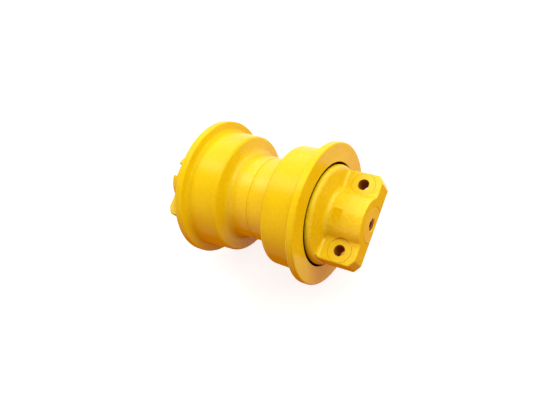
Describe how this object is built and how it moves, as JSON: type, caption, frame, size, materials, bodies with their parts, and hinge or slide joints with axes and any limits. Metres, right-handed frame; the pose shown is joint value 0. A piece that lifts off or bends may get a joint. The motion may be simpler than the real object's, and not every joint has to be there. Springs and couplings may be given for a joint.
{
  "type": "track roller",
  "caption": "Flanged track roller for a crawler undercarriage: a welded shell turns on a fixed shaft, sealed and carried by bolt-on end collars.",
  "frame": {"origin": "middle of the roller's axis, midway between the two flanges", "axes": "+Y along the roller's axis towards the end with no oil plug; the mounting faces look to -Z, the bolt pads to +Z; +X across the roller"},
  "size_m": [0.224, 0.354, 0.224],
  "materials": {
    "yellow_paint": "semi-gloss yellow enamel over forged and cast steel",
    "shaft_steel": "ground journals, painted outer ends",
    "bushing_bronze": "bored bronze lining on a steel back",
    "seal_iron": "hard alloy iron, lapped sealing face",
    "seal_rubber": "moulded black rubber",
    "pin_steel": "blackened steel"
  },
  "bodies": {
    "axle": {"shaft": "shaft_steel", "end_collar_left": "yellow_paint", "end_collar_right": "yellow_paint", "seal_ring_static_left": "seal_iron", "seal_ring_static_right": "seal_iron", "seal_rubber_static_left": "seal_rubber", "seal_rubber_static_right": "seal_rubber", "o_ring_left": "seal_rubber", "o_ring_right": "seal_rubber", "lock_pin_left": "pin_steel", "lock_pin_right": "pin_steel", "oil_plug": "pin_steel"},
    "roller": {"shell_half_left": "yellow_paint", "shell_half_right": "yellow_paint", "weld_bead": "yellow_paint", "bushing_left": "bushing_bronze", "bushing_right": "bushing_bronze", "seal_ring_rotating_left": "seal_iron", "seal_ring_rotating_right": "seal_iron", "seal_rubber_rotating_left": "seal_rubber", "seal_rubber_rotating_right": "seal_rubber"}
  },
  "joints": [
    {"name": "roller_spin", "type": "hinge", "parent": "axle", "child": "roller", "pos_m": [0, 0, 0], "axis": [0, 1, 0], "continuous": true}
  ]
}
